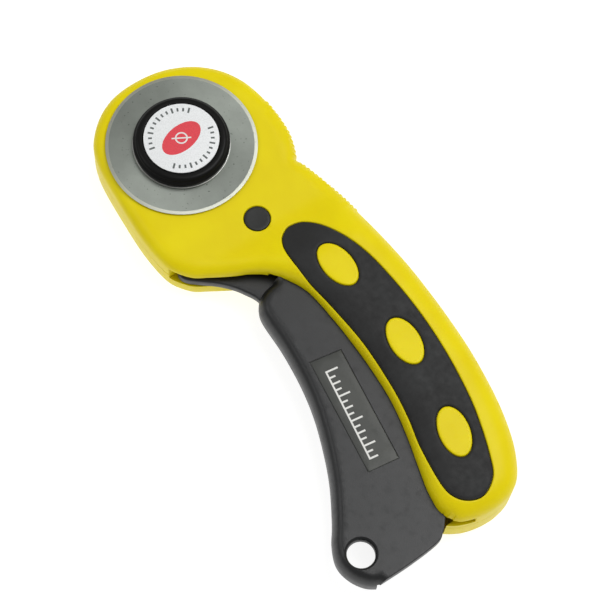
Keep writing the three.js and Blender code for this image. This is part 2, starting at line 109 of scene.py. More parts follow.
# the shells' outline, as two stretches that meet at the notch and at the tail's corner
HEAD_BACK = [
    (21.8, 26), (19, 27.5), (14, 29.3), (9, 29.9), (3, 29.9), (-3, 29.2), (-9, 27.5), (-15, 24.1),
    (-20.3, 18.7), (-24, 11.9), (-25.8, 5), (-26.1, -3), (-24.8, -9.6), (-21.4, -15.7),
    (-16.1, -20.8), (-10.3, -23.2), (-4.1, -24.3), (5, -25.1), (15, -25.7), (21.1, -25.6),
    (26.2, -25.1), (29.9, -24.2), (33, -22.4), (35.9, -19.9), (38, -16.6), (40.2, -13),
    (42.2, -9.5), (43.9, -6), (46.5, -2.3), (49, -0.1), (51.5, 1.6), (58.5, 4.7), (69.7, 5.9),
    (79.7, 6.2), (89.7, 6), (99.7, 5.1), (109.7, 2.9), (119.7, 0), (127, -2), (136.4, -3.2),
]
TAIL_AND_BACK = [
    (136.4, -3.2), (138.7, 0.1), (140.5, 4.7), (141.3, 9.4), (141.2, 13.6), (139.9, 18.2),
    (136.7, 22.2), (129.2, 26.5), (119.1, 29.8), (109, 31.8), (99, 33.1), (89, 33.7), (79, 33.9),
    (69, 33.7), (59, 32.9), (49, 31.7), (39, 30.6), (30, 28.6), (24, 26.9), (21.8, 26),
]
GRIP = [
    (39.2, 12.1), (40.6, 15.8), (45.6, 19.8), (56.1, 23.8), (66.1, 25.6), (81.1, 26.4),
    (96.1, 25.6), (111.1, 23.2), (121.1, 20.4), (129.1, 17.4), (134.1, 14.8), (137, 10.4),
    (136.7, 6.2), (133.6, 2.6), (128.1, 1.4), (116.1, 3.1), (106.1, 5.6), (96.1, 7.2), (81.1, 8),
    (66.1, 7), (56.1, 5.8), (46.6, 5.5), (41.8, 7), (39.6, 9.7),
]
FINGER_SIDE = [
    (49.6, -1.5), (50.1, -4.6), (51.6, -7.5), (54, -9.3), (57.5, -10.2), (68, -10.6), (79, -12),
    (88.8, -14.3), (98.6, -17.9), (108.1, -22.3), (117.8, -28.3), (123, -32.1), (128.4, -34.4),
    (133.5, -33.8), (137.9, -31.3), (140.3, -28.2),
]
TRIGGER_TAIL = [(140.3, -28.2), (140.5, -18), (139.9, -8), (138.2, -4.9), (135.2, -1.8)]
TRIGGER_INNER = [
    (135.2, -1.8), (128, 3.6), (115, 7.5), (100, 10.5), (80, 12), (62, 11.2), (52, 9.6), (49.4, 6),
    (49.6, -1.5),
]
TRIGGER_POCKET = [
    (54.5, -3), (56.5, -6), (64.5, -7.4), (79, -8.6), (88.8, -10.9), (98.6, -14.4),
    (108.3, -18.4), (118.1, -24.2), (123.5, -28.4), (128.5, -31.5), (133, -31.0), (136, -27.8),
    (146, -27.6), (146, -3), (136.5, -3), (127, 1.2), (115, 5.2), (100, 8.2), (80, 9.8), (62, 9.0),
    (55.5, 6.5),
]
ARM_FINGER_SIDE = [
    (58, -8.6), (51.5, -7.4), (46.4, -9.6), (42.6, -12.2), (39.6, -15.1), (37, -18.2), (34.4, -21.1),
    (32.6, -22.2), (31, -22.3), (29.6, -21), (27.4, -19), (24, -15.6), (18, -11.4), (10, -8.8),
    (4, -7.2),
]
ARM_BACK_SIDE = [(4, 7.2), (12, 9.4), (20, 11.4), (28, 12.7), (36, 12.7), (45, 10.6), (58, 9.5)]
THROAT_BAND = [
    (29.2, -28), (52, -16), (55, 3), (50, 3.6), (46, 0.6), (42.6, -3), (40.4, -8), (37.4, -13),
    (33, -18.5), (29.6, -20.8),
]
TRIGGER_BAND = [
    (47.2, -9), (47.2, 5.5), (60, 9), (85, 10), (110, 7), (128, 6), (133, 8.6), (136.9, 8.6),
    (136.9, -9),
]
# thin opening in the front shell's tail wall, which the trigger's front plate swings into
TAIL_BAND = [
    (136.8, -9), (136.8, 8.6), (139.6, 8.6), (139.8, 6), (140.0, 5.0), (146, 4.6), (146, -9),
]
PANEL = np.array([(78.2, 2.5), (113.9, -2.7), (112.4, -12.2), (76.4, -7.1)])

# ---------------------------------------------------------------- plane geometry


def spline(points, step, closed=False):
    """Points of a Catmull-Rom curve about step apart; the last one is left out."""
    points = np.array(points, float)
    ends = (points[-1:], points[:2]) if closed else (points[:1], points[-1:])
    padded = np.vstack([ends[0], points, ends[1]])
    pieces = []
    for p0, p1, p2, p3 in zip(padded, padded[1:], padded[2:], padded[3:]):
        count = max(2, round(np.linalg.norm(p2 - p1) / step))
        t = np.linspace(0, 1, count, endpoint=False)[:, None]
        v0, v1 = (p2 - p0) / 2, (p3 - p1) / 2
        cubic = 2 * p1 - 2 * p2 + v0 + v1
        square = 3 * p2 - 3 * p1 - 2 * v0 - v1
        pieces.append(cubic * t**3 + square * t**2 + v0 * t + p1)
    return np.vstack(pieces)


def ellipse(centre, size, tilt, count=72):
    angle = np.linspace(0, 2 * math.pi, count, endpoint=False)
    x, y = size[0] * np.cos(angle), size[1] * np.sin(angle)
    c, s = math.cos(math.radians(tilt)), math.sin(math.radians(tilt))
    return np.column_stack([centre[0] + c * x - s * y, centre[1] + s * x + c * y])


def circle(centre, radius, count=72):
    return ellipse(centre, (radius, radius), 0, count)


def counter_clockwise(loop):
    x, y = loop[:, 0], loop[:, 1]
    area = np.dot(x, np.roll(y, -1)) - np.dot(y, np.roll(x, -1))
    return loop if area > 0 else loop[::-1]


def outline(*stretches):
    """Counter-clockwise loop of smooth stretches that meet at corners."""
    return counter_clockwise(np.vstack([spline(points, FINE) for points in stretches]))


def in_parts(points):
    """The points in lots small enough to compare with a whole line at once."""
    return np.array_split(points, max(1, len(points) // 1500))


def distance(points, line, closed=True):
    """Distance of each point to a line of straight pieces."""
    a = line if closed else line[:-1]
    b = np.roll(line, -1, 0) if closed else line[1:]
    ab = b - a
    length = (ab**2).sum(1)
    result = []
    for part in in_parts(points):
        ap = part[:, None, :] - a[None]
        t = np.clip((ap * ab).sum(2) / length, 0, 1)
        result.append(np.sqrt(((ap - t[..., None] * ab) ** 2).sum(2).min(1)))
    return np.concatenate(result)


def inside(points, loop):
    """Whether each point is within a loop, by the crossings of a line from it."""
    a, b = loop, np.roll(loop, -1, 0)
    result = []
    for part in in_parts(points):
        x, y = part[:, 0, None], part[:, 1, None]
        crosses = (a[:, 1] > y) != (b[:, 1] > y)
        rise = np.where(b[:, 1] == a[:, 1], 1e-12, b[:, 1] - a[:, 1])
        hits = crosses & (x < (b[:, 0] - a[:, 0]) * (y - a[:, 1]) / rise + a[:, 0])
        result.append(hits.sum(1) % 2 == 1)
    return np.concatenate(result)


def inset(loop, depth, every=1):
    """The loop moved inwards, without the points that would cross over at a corner."""
    along = np.roll(loop, -1, 0) - np.roll(loop, 1, 0)
    along /= np.linalg.norm(along, axis=1)[:, None]
    moved = (loop + depth * np.column_stack([-along[:, 1], along[:, 0]]))[::every]
    return moved[distance(moved, loop) > abs(depth) * 0.985]


def smoothstep(value, start, end):
    t = np.clip((value - start) / (end - start), 0, 1)
    return t * t * (3 - 2 * t)


def rounding(depth, radius, height=None, power=2.0):
    """How far a rounded rim lies under the flat, at a given depth in from its edge."""
    height = radius if height is None else height
    t = 1 - np.clip(depth / radius, 0, 1)
    return height * (1 - (1 - t**power) ** (1 / power))


# ---------------------------------------------------------------- meshes


def new_piece(name, vertices, faces):
    mesh = bpy.data.meshes.new(name)
    mesh.from_pydata((np.array(vertices, float) * MM).tolist(), [], faces)
    mesh.update()
    piece = bpy.data.objects.new(name, mesh)
    bpy.context.scene.collection.objects.link(piece)
    return piece


def seeds_between(outer, holes, rows, step):
    """Places for a fine mesh: rows along each rim, then an even triangular grid."""
    rims = [outer, *holes]
    found = [inset(rim, depth if i == 0 else -depth, 1 if depth < 1.2 else 2)
             for i, rim in enumerate(rims) for depth in rows]
    low, high = outer.min(0), outer.max(0)
    grid = []
    for number, y in enumerate(np.arange(low[1], high[1], step * 0.866)):
        x = np.arange(low[0] + (number % 2) * step / 2, high[0], step)
        grid.append(np.column_stack([x, np.full(len(x), y)]))
    grid = np.vstack(grid)
    clear = np.min([distance(grid, rim) for rim in rims], axis=0) > rows[-1] + 0.4 * step
    found.append(grid[clear])
    points = np.vstack(found)
    keep = inside(points, outer)
    for hole in holes:
        keep &= ~inside(points, hole)
    return points[keep]


def sheet_mesh(outer, holes, creases, seeds):
    """Triangles over outer without its holes, with edges along every crease."""
    points, edges = [], []
    for loop in [outer, *holes, *creases]:
        start = sum(len(part) for part in points)
        edges += [(start + i, start + (i + 1) % len(loop)) for i in range(len(loop))]
        points.append(loop)
    points.append(seeds)
    flat = [tuple(point) for point in np.vstack(points)]
    vertices, _, faces, sources, _, _ = delaunay_2d_cdt(flat, edges, [], 1, 1e-7)
    place = {source[0]: i for i, source in enumerate(sources) if source}
    xy = np.array([tuple(v) for v in vertices])
    middles = np.array([xy[list(face)].mean(0) for face in faces])
    keep = np.ones(len(faces), bool)
    for hole in holes:
        keep &= ~inside(middles, hole)
    rims, start = [], 0
    for loop in [outer, *holes]:
        rims.append([place[start + i] for i in range(len(loop))])
        start += len(loop)
    return xy, [tuple(face) for face, kept in zip(faces, keep) if kept], rims


def solid(name, outer, top, bottom, holes=(), creases=(), rows=(0.3,), step=1.2, extra=None):
    """Closed piece over a loop, between two height functions of the plane place."""
    seeds = seeds_between(outer, holes, rows, step)
    if extra is not None:
        seeds = extra(seeds)
    xy, faces, rims = sheet_mesh(outer, holes, creases, seeds)
    count = len(xy)
    upper = np.column_stack([xy, top(xy)])
    lower = np.column_stack([xy, bottom(xy)])
    walls = []
    for number, rim in enumerate(rims):
        for a, b in zip(rim, rim[1:] + rim[:1]):
            quad = (a + count, b + count, b, a)
            walls.append(quad if number == 0 else quad[::-1])
    under = [tuple(i + count for i in reversed(face)) for face in faces]
    return new_piece(name, np.vstack([upper, lower]), faces + under + walls)


def prism(loop, z0, z1, name="cutter"):
    """Upright piece over a loop, with flat ends."""
    loop = counter_clockwise(np.array(loop, float))
    count = len(loop)
    vertices = [(x, y, z) for z in (z0, z1) for x, y in loop]
    faces = [tuple(reversed(range(count))), tuple(range(count, 2 * count))]
    faces += [(i, (i + 1) % count, count + (i + 1) % count, count + i) for i in range(count)]
    return new_piece(name, vertices, faces)


def bar(centre, along, half_length, half_width, z0, z1):
    """Upright bar round a place, lying along a unit direction."""
    along = np.array(along)
    side = np.array((-along[1], along[0]))
    corners = [np.array(centre) + along * a * half_length + side * b * half_width
               for a, b in ((-1, -1), (1, -1), (1, 1), (-1, 1))]
    return prism(corners, z0, z1)


def lathe(name, profile, centre=(0, 0), segments=96):
    """Turned solid about +Z from [radius, z] points, bottom to top; it may close on itself."""
    profile = [tuple(p) for p in profile]
    closed = profile[0] == profile[-1]
    profile = profile[:-1] if closed else profile
    angles = [2 * math.pi * i / segments for i in range(segments)]
    vertices, rings = [], []
    for radius, z in profile:
        if radius == 0:
            rings.append([len(vertices)] * segments)
            vertices.append((centre[0], centre[1], z))
            continue
        rings.append(list(range(len(vertices), len(vertices) + segments)))
        vertices += [(centre[0] + radius * math.cos(a), centre[1] + radius * math.sin(a), z)
                     for a in angles]
    faces = []
    pairs = list(zip(rings, rings[1:])) + ([(rings[-1], rings[0])] if closed else [])
    for low, high in pairs:
        for i in range(segments):
            j = (i + 1) % segments
            corners = [low[i], low[j], high[j], high[i]]
            faces.append(tuple(dict.fromkeys(corners)))
    return new_piece(name, vertices, [face for face in faces if len(face) > 2])


def rod(radius, z0, z1, centre=(0, 0), segments=64):
    return lathe("rod", [(0, z0), (radius, z0), (radius, z1), (0, z1)], centre, segments)


def combine(piece, others, operation):
    """Adds the other pieces to this one, or takes them away from it, and removes them."""
    for other in others:
        modifier = piece.modifiers.new("combine", "BOOLEAN")
        modifier.object = other
        modifier.operation = operation
        modifier.solver = "MANIFOLD"
    bpy.context.view_layer.update()
    evaluated = piece.evaluated_get(bpy.context.evaluated_depsgraph_get())
    result = bpy.data.meshes.new_from_object(evaluated)
    piece.modifiers.clear()
    piece.data = result
    for other in others:
        bpy.data.objects.remove(other)
    return piece


def cut(piece, *others):
    return combine(piece, others, "DIFFERENCE")


def join(piece, *others):
    return combine(piece, others, "UNION")


def mirror_rear(piece):
    """Turns a piece made for the front into its mirror image at the rear."""
    piece.data.transform(Matrix.Scale(-1, 4, (0, 0, 1)))
    piece.data.flip_normals()
    return piece


def finish(piece, body, slot, material, *nodes, lift=PARTING, angle=32):
    """Puts a piece at its height, shades it, and ties it to its body, material and CAD nodes; the slot
    argument is not used.
    """
    piece.data.transform(Matrix.Translation((0, 0, lift * MM)))
    piece.data.shade_smooth()
    piece.data.set_sharp_from_angle(angle=math.radians(angle))
    piece.data.materials.clear()
    piece.data.materials.append(material)
    if nodes:
        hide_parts(*nodes)
    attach(piece, body)


# ---------------------------------------------------------------- materials


class Nodes:
    """A material's node tree, written as short calls."""

    def __init__(self, name):
        self.material = bpy.data.materials.new(name)
        self.material.use_nodes = True
        self.tree = self.material.node_tree
        self.shader = self.tree.nodes["Principled BSDF"]
        self.place = self.tree.nodes.new("ShaderNodeTexCoord").outputs["Object"]

    def node(self, kind, inputs=None, **settings):
        made = self.tree.nodes.new(f"ShaderNode{kind}")
        for key, value in settings.items():
            setattr(made, key, value)
        for key, value in (inputs or {}).items():
            self.feed(made.inputs[key], value)
        return made

    def feed(self, socket, value):
        if isinstance(value, bpy.types.NodeSocket):
            self.tree.links.new(value, socket)
        else:
            socket.default_value = value

    def noise(self, size_mm, detail=2.0, roughness=0.5):
        return self.node("TexNoise", {
            "Vector": self.place, "Scale": 1 / (size_mm * MM), "Detail": detail,
            "Roughness": roughness,
        }).outputs["Fac"]

    def ramp(self, value, low, high, bottom=0.0, top=1.0):
        return self.node("MapRange", {
            "Value": value, "From Min": low, "From Max": high,
            "To Min": bottom, "To Max": top,
        }).outputs["Result"]

    def mix(self, factor, a, b):
        mixed = self.node("Mix", data_type="RGBA")
        self.feed(mixed.inputs[0], factor)
        self.feed(mixed.inputs[6], a)
        self.feed(mixed.inputs[7], b)
        return mixed.outputs[2]

    def math(self, operation, a, b=0.0):
        made = self.node("Math", operation=operation)
        self.feed(made.inputs[0], a)
        self.feed(made.inputs[1], b)
        return made.outputs[0]

    def bump(self, height, strength, depth_mm, normal=None):
        inputs = {"Height": height, "Strength": strength, "Distance": depth_mm * MM}
        if normal is not None:
            inputs["Normal"] = normal
        return self.node("Bump", inputs).outputs["Normal"]

    def set(self, **inputs):
        for key, value in inputs.items():
            self.feed(self.shader.inputs[key.replace("_", " ")], value)
        return self.material


def colour(red, green, blue):
    """sRGB 0 to 255 as a linear colour."""
    def linear(value):
        value /= 255
        return value / 12.92 if value <= 0.04045 else ((value + 0.055) / 1.055) ** 2.4
    return (linear(red), linear(green), linear(blue), 1.0)


def scaled(shade, factor):
    """The colour made lighter or darker, and kept within white."""
    return tuple(min(1.0, value * factor) for value in shade[:3]) + (1.0,)


def moulded_plastic(name, shade, dark, roughness, grain_mm, grain, gloss=0.5):
    """Moulded plastic: slow colour drift, a fine skin texture, small scuffs in the gloss."""
    n = Nodes(name)
    drift = n.ramp(n.noise(14.0, 3.0), 0.35, 0.65)
    scuffs = n.ramp(n.noise(3.0, 8.0, 0.7), 0.5, 0.75)
    rough = n.math("ADD", n.math("MULTIPLY", scuffs, 0.12), roughness)
    skin = n.noise(grain_mm, 2.0, 0.6)
    return n.set(
        Base_Color=n.mix(drift, dark, shade), Roughness=rough, Specular_IOR_Level=gloss,
        Normal=n.bump(skin, grain, 0.06, n.bump(drift, 0.05, 0.2)),
    )


def make_yellow():
    """Moulded plastic that lets a little light in."""
    material = moulded_plastic(
        "yellow plastic", colour(239, 220, 0), colour(233, 212, 0), 0.4, 0.5, 0.12, 0.2,
    )
    shader = material.node_tree.nodes["Principled BSDF"]
    shader.inputs["Subsurface Weight"].default_value = 0.08
    shader.inputs["Subsurface Radius"].default_value = (0.004, 0.003, 0.0005)
    shader.inputs["Subsurface Scale"].default_value = 0.5
    return material


def make_rubber():
    """Soft rubber with a fine pebble, rubbed paler in patches."""
    n = Nodes("grip rubber")
    pebble = n.node("TexVoronoi", {"Vector": n.place, "Scale": 1 / (0.45 * MM)},
                    feature="SMOOTH_F1")
    wear = n.ramp(n.noise(9, 4.0), 0.4, 0.7)
    return n.set(
        Base_Color=n.mix(wear, colour(34, 34, 34), colour(42, 43, 43)),
        Roughness=n.ramp(n.noise(2, 6.0), 0.3, 0.7, 0.55, 0.72),
        Normal=n.bump(pebble.outputs["Distance"], 0.25, 0.05),
        Specular_IOR_Level=0.35,
    )


def make_steel(name, shade, rough, ring_mm):
    """Steel turned or ground in rings round the blade axis, with small handling marks."""
    n = Nodes(name)
    split = n.node("SeparateXYZ", {"Vector": n.place})
    squares = [n.math("POWER", split.outputs[axis], 2.0) for axis in "XY"]
    rings = n.math("DIVIDE", n.math("SQRT", n.math("ADD", *squares)), ring_mm * MM)
    lines = n.node("TexNoise", {"W": rings, "Scale": 1.0, "Detail": 4.0},
                   noise_dimensions="1D").outputs["Fac"]
    smudge = n.ramp(n.noise(7, 5.0, 0.6), 0.35, 0.7)
    specks = n.ramp(n.noise(0.8, 1.0), 0.7, 0.76)
    clean = n.mix(smudge, shade, scaled(shade, 1.15))
    return n.set(
        Base_Color=n.mix(specks, clean, scaled(shade, 0.6)), Metallic=1.0,
        Roughness=n.math("ADD", n.math("MULTIPLY", lines, 0.14), rough),
        Normal=n.bump(lines, 0.12, 0.01), Anisotropic=0.4,
    )


def make_paint(name, shade, rough=0.5):
    """Printed film or ink, a little uneven in tone."""
    n = Nodes(name)
    worn = n.ramp(n.noise(0.35, 3.0), 0.3, 0.6)
    return n.set(Base_Color=n.mix(worn, scaled(shade, 0.86), shade), Roughness=rough,
                 Normal=n.bump(n.noise(0.3), 0.1, 0.02))


YELLOW = make_yellow()
RUBBER = make_rubber()
LEVER_BLACK = moulded_plastic(
    "lever plastic", colour(25, 26, 27), colour(19, 20, 21), 0.4, 0.22, 0.5, 0.55)
PANEL_BLACK = moulded_plastic(
    "panel plastic", colour(58, 60, 55), colour(52, 54, 50), 0.42, 0.4, 0.12)
KNOB_BLACK = moulded_plastic(
    "knob plastic", colour(18, 18, 17), colour(13, 13, 12), 0.34, 0.6, 0.06, 0.14)
BUTTON_BLACK = moulded_plastic(
    "button plastic", colour(31, 32, 29), colour(25, 26, 24), 0.45, 0.3, 0.2, 0.4)
BLADE_STEEL = make_steel("blade steel", colour(142, 147, 140), 0.34, 0.12)
BEVEL_STEEL = make_steel("ground edge steel", colour(182, 184, 172), 0.4, 0.05)
PLATED_STEEL = make_steel("plated steel", colour(196, 196, 192), 0.24, 0.2)
LABEL_WHITE = make_paint("label film", colour(243, 245, 245), 0.4)
LABEL_RED = make_paint("label red", colour(232, 66, 78), 0.4)
PRINT_DARK = make_paint("label print", colour(92, 98, 96))
PRINT_WHITE = make_paint("white print", colour(236, 236, 232))

# ---------------------------------------------------------------- the shells

RIB_PITCH = 1.6
RIB_HEIGHT = 0.5
RIB_STRETCHES = [(1.2, 21.4), (23.2, 46.0)]     # along X, either side of the notch

BODY = outline(HEAD_BACK, TAIL_AND_BACK)
GRIP_LOOP = counter_clockwise(spline(GRIP, FINE, closed=True))
ISLAND_LOOPS = [ellipse((x, y), ISLAND_SIZE, tilt) for x, y, tilt in ISLANDS]


def ribbed(points):
    """A stretch of the outline with the finger rest's ribs standing out of it."""
    line = np.vstack([spline(points, RIB_PITCH / 6), points[-1:]])
    has_ribs = np.zeros(len(line), bool)
    for start, end in RIB_STRETCHES:
        has_ribs |= (line[:, 1] > 15) & (line[:, 0] > start) & (line[:, 0] < end)
    along = np.gradient(line, axis=0)
    along /= np.linalg.norm(along, axis=1)[:, None]
    outwards = np.column_stack([-along[:, 1], along[:, 0]])
    if not inside(np.array([line[1] - outwards[1] * 0.5]), BODY)[0]:
        outwards = -outwards
    travelled = np.concatenate([[0], np.cumsum(np.linalg.norm(np.diff(line, axis=0), axis=1))])
    wave = RIB_HEIGHT * (0.5 + 0.5 * np.cos(2 * math.pi * travelled / RIB_PITCH)) ** 0.8
    raised = line + outwards * (wave * has_ribs)[:, None]
    keep = has_ribs | (np.arange(len(line)) % 3 == 0)
    keep[-1] = True
    return raised[keep]


BODY_LINES = [ribbed(line) for line in (HEAD_BACK, TAIL_AND_BACK)]
RIBBED_BODY = counter_clockwise(np.vstack([line[:-1] for line in BODY_LINES]))


def body_height(xy, rear=False):
    """Height of a shell's outer surface, before the grip's pocket."""
    to_front, to_back = (distance(xy, line, closed=False) for line in BODY_LINES)
    depth = np.minimum(to_front, to_back)
    near_both = np.clip(1 - np.abs(to_front - to_back) / CORNER_BLEND, 0, 1) * (xy[:, 0] > 100)
    depth = np.clip(depth - near_both**2 * CORNER_BLEND / 4, 0, None)
    depth[~inside(xy, RIBBED_BODY)] = 0
    side, width = HEAD_REAR if rear else HEAD_FRONT
    head = HEAD_TOP - rounding(depth, width, HEAD_TOP - side)
    side, width = HANDLE_REAR if rear else HANDLE_FRONT
    handle = HANDLE_TOP - rounding(depth, width, HANDLE_TOP - side, 2.2)
    return head + (handle - head) * smoothstep(xy[:, 0], 35, 54)


def shell_height(xy, rear=False):
    """Height of a shell's outer surface, with the grip's pocket and the islands."""
    z = body_height(xy, rear)
    on_island = np.any([inside(xy, loop) for loop in ISLAND_LOOPS], axis=0)
    in_grip = inside(xy, GRIP_LOOP)
    rim = np.min([distance(xy, loop) for loop in [GRIP_LOOP, *ISLAND_LOOPS]], axis=0)
    lip = rounding(rim, 0.5)
    z = np.where(in_grip & ~on_island, z - POCKET, z - lip)
    return z + 0.25 * on_island


def both_sides(loop, spread=0.02):
    """Two lines close on either side of a step in height."""
    return [inset(loop, -spread), inset(loop, spread)]


def shell_seeds(seeds):
    """Adds rows along the grip's pocket and the islands, and clears places too near them."""
    loops = [GRIP_LOOP, *ISLAND_LOOPS]
    depths = (0.12, 0.27, 0.5, 0.9)
    rows = np.vstack([inset(loop, side * depth)
                      for loop in loops for side in (-1, 1) for depth in depths])
    clear = np.min([distance(seeds, loop) for loop in loops], axis=0) > 1.0
    rows = rows[inside(rows, BODY) & (distance(rows, BODY) > 0.2)]
    return np.vstack([seeds[clear], rows])


def lever_slot(centre, half_width):
    """Outline that a rod sweeps as the lever turns through its travel."""
    arm = np.array(centre) - PIVOT
    reach, start = np.hypot(*arm), math.atan2(arm[1], arm[0])
    end = start + SQUEEZE

    def arc(middle, radius, a, b):
        angle = np.linspace(a, b, 24, endpoint=False)
        x, y = radius * np.cos(angle), radius * np.sin(angle)
        return np.column_stack([middle[0] + x, middle[1] + y])

    far = PIVOT + reach * np.array([math.cos(end), math.sin(end)])
    return np.vstack([
        arc(PIVOT, reach + half_width, start, end),
        arc(far, half_width, end, end + math.pi),
        arc(PIVOT, reach - half_width, end, start),
        arc(centre, half_width, start + math.pi, start + 2 * math.pi),
    ])


def half_shell(name, rear):
    """One shell, made at the front, with all the openings that both shells have."""
    creases = [loop for line in [GRIP_LOOP, *ISLAND_LOOPS] for loop in both_sides(line)]
    shell = solid(
        name, RIBBED_BODY, lambda xy: shell_height(xy, rear),
        lambda xy: np.full(len(xy), SHELL_GAP), creases=creases,
        rows=(0.1, 0.25, 0.5, 0.8, 1.2, 1.7, 2.3, 3.0), step=1.3, extra=shell_seeds,
    )
    hollow = prism(inset(BODY, WALL), BELOW, HOLLOW_TOP)
    throat = prism(THROAT_BAND, BELOW, THROAT_REAR if rear else THROAT_FRONT)
    cut(shell, hollow, throat, prism(TRIGGER_BAND, BELOW, SLOT_TOP))
    if not rear:
        cut(shell, prism(TAIL_BAND, TRIGGER_HALF - PLATE - 0.3, SLOT_TOP))
    boss_top = HOLLOW_TOP + 0.5
    bosses = [rod(SCREW_BOSS_R, 0.15, boss_top, at) for at in SCREWS]
    join(shell, *bosses, rod(PIVOT_BOSS_R, ARM_HALF + 0.3, boss_top, PIVOT))
    well = BUTTON_LOOK_R + 0.13
    button_well = lathe("cutter", [
        (0, BELOW), (well, BELOW), (well, HEAD_TOP - 0.3), (well + 0.12, HEAD_TOP - 0.08),
        (well + 0.3, HEAD_TOP + 0.05), (well + 0.3, ABOVE), (0, ABOVE),
    ], BUTTON)
    return cut(shell, prism(lever_slot((0, 0), BOLT_SLOT_R), BELOW, ABOVE), button_well,
               rod(PIVOT_HOLE_R, BELOW, HOLLOW_TOP, PIVOT))


def make_shells():
    front = half_shell("front_shell_moulding", False)
    cut(front, *[rod(SCREW_HOLE_R, BELOW, 4.6, at) for at in SCREWS])
    finish(front, "handle", "shell_plastic", YELLOW, "front_shell")
    rear = half_shell("rear_shell_moulding", True)
    well = [
        (0, BELOW), (SCREW_HOLE_R, BELOW), (SCREW_HOLE_R, SCREW_SEAT), (2.8, SCREW_SEAT),
        (2.8, 7), (3.0, ABOVE), (0, ABOVE),
    ]
    cut(rear, *[lathe("cutter", well, at) for at in SCREWS])
    finish(mirror_rear(rear), "handle", "shell_plastic", YELLOW, "rear_shell")


def make_grip(side, rear):
    """Crowned rubber inlay that fills the pocket round the islands."""
    edge_line = inset(GRIP_LOOP, 0.14)
    windows = [inset(loop, -0.14) for loop in ISLAND_LOOPS]

    def top(xy):
        edge = np.min([distance(xy, loop) for loop in [edge_line, *windows]], axis=0)
        return body_height(xy, rear) + 0.32 - rounding(edge, 0.9, 0.6)

    grip = solid(f"{side}_grip_rubber", edge_line, top,
                 lambda xy: body_height(xy, rear) - POCKET + 0.03,
                 holes=windows, rows=(0.1, 0.25, 0.45, 0.7, 1.0), step=1.3)
    if rear:
        mirror_rear(grip)
    finish(grip, "handle", "grip_rubber", RUBBER, f"{side}_grip")


# ---------------------------------------------------------------- the lever

FINGER_LINE = np.vstack([spline(FINGER_SIDE, FINE), FINGER_SIDE[-1:]])
TRIGGER_LOOP = outline(FINGER_SIDE, TRIGGER_TAIL, TRIGGER_INNER)
ARM_LOOP = outline(ARM_FINGER_SIDE, ARM_BACK_SIDE)
PANEL_LOOP = counter_clockwise(np.vstack([
    np.linspace(a, b, 24, endpoint=False) for a, b in zip(PANEL, np.roll(PANEL, -1, 0))
]))
PANEL_DEPTH = 0.3


def trigger_top(xy):
    """Flat face that rolls over into the finger side, with the other edges just broken."""
    finger = rounding(distance(xy, FINGER_LINE, closed=False), 2.7, 4.4, 1.7)
    edge = rounding(distance(xy, TRIGGER_LOOP), 0.35)
    return TRIGGER_HALF - np.maximum(finger, edge)


def arm_top(xy):
    return ARM_HALF - rounding(distance(xy, ARM_LOOP), 0.6)


def pocket_cells():
    """Hollows between the ribs behind the trigger's plate."""
    cells = prism(spline(TRIGGER_POCKET, 2.0, closed=True), -TRIGGER_HALF - 1, TRIGGER_HALF - PLATE)
    ribs = [bar((x, -10), (0, 1), 30, 0.8, 2.2 - TRIGGER_HALF, PAST) for x in RIB_X]
    return cut(cells, *ribs)


def lug_seats():
    """Holes for the lock button's lug, with the lever open and squeezed."""
    seats = []
    for turn in (0, -math.degrees(SQUEEZE)):
        c, s = math.cos(math.radians(turn)), math.sin(math.radians(turn))
        x, y = BUTTON - PIVOT
        centre = PIVOT + (c * x - s * y, s * x + c * y)
        seats.append(prism(ellipse(centre, (3.5, 1.3), LUG_TURN + turn), -PAST, PAST))
    return seats


def hang_hole():
    """Cutter for the hang hole, with a softened rim at the front."""
    top, radius = TRIGGER_HALF, HANG_HOLE_R
    return lathe("cutter", [
        (0, -PAST), (radius, -PAST), (radius, top - 0.8), (radius + 0.25, top - 0.35),
        (radius + 0.8, top + 0.02), (radius + 0.8, PAST), (0, PAST),
    ], HANG_HOLE)


def make_lever():
    lever = solid("trigger_lever_moulding", TRIGGER_LOOP, trigger_top, lambda xy: -trigger_top(xy),
                  rows=(0.08, 0.2, 0.4, 0.7, 1.1, 1.6, 2.2, 2.9), step=1.5)
    inlay_seat = prism(inset(PANEL_LOOP, -0.2), TRIGGER_HALF - PANEL_DEPTH, TRIGGER_HALF + 1)
    cut(lever, pocket_cells(), inlay_seat)
    arm = solid("arm", ARM_LOOP, arm_top, lambda xy: -arm_top(xy), rows=(0.1, 0.3, 0.6), step=1.6)
    join(lever, arm, rod(8.0, -5.6, 5.6), rod(1.2, 0, 5.0, SPRING_POST))
    cut(lever, *lug_seats(), rod(3.3, -PAST, PAST), rod(PIVOT_HOLE_R, -PAST, PAST, PIVOT),
        hang_hole())
    finish(lever, "lever", "lever_plastic", LEVER_BLACK, "trigger_lever")


def make_panel():
    """Smooth inlay in the trigger's face."""
    def top(xy):
        return TRIGGER_HALF - 0.02 - rounding(distance(xy, PANEL_LOOP), 0.25, 0.1)

    panel = solid("trigger_panel", PANEL_LOOP, top,
                  lambda xy: np.full(len(xy), TRIGGER_HALF - PANEL_DEPTH),
                  rows=(0.08, 0.2), step=2.5)
    finish(panel, "lever", "lever_plastic", PANEL_BLACK)


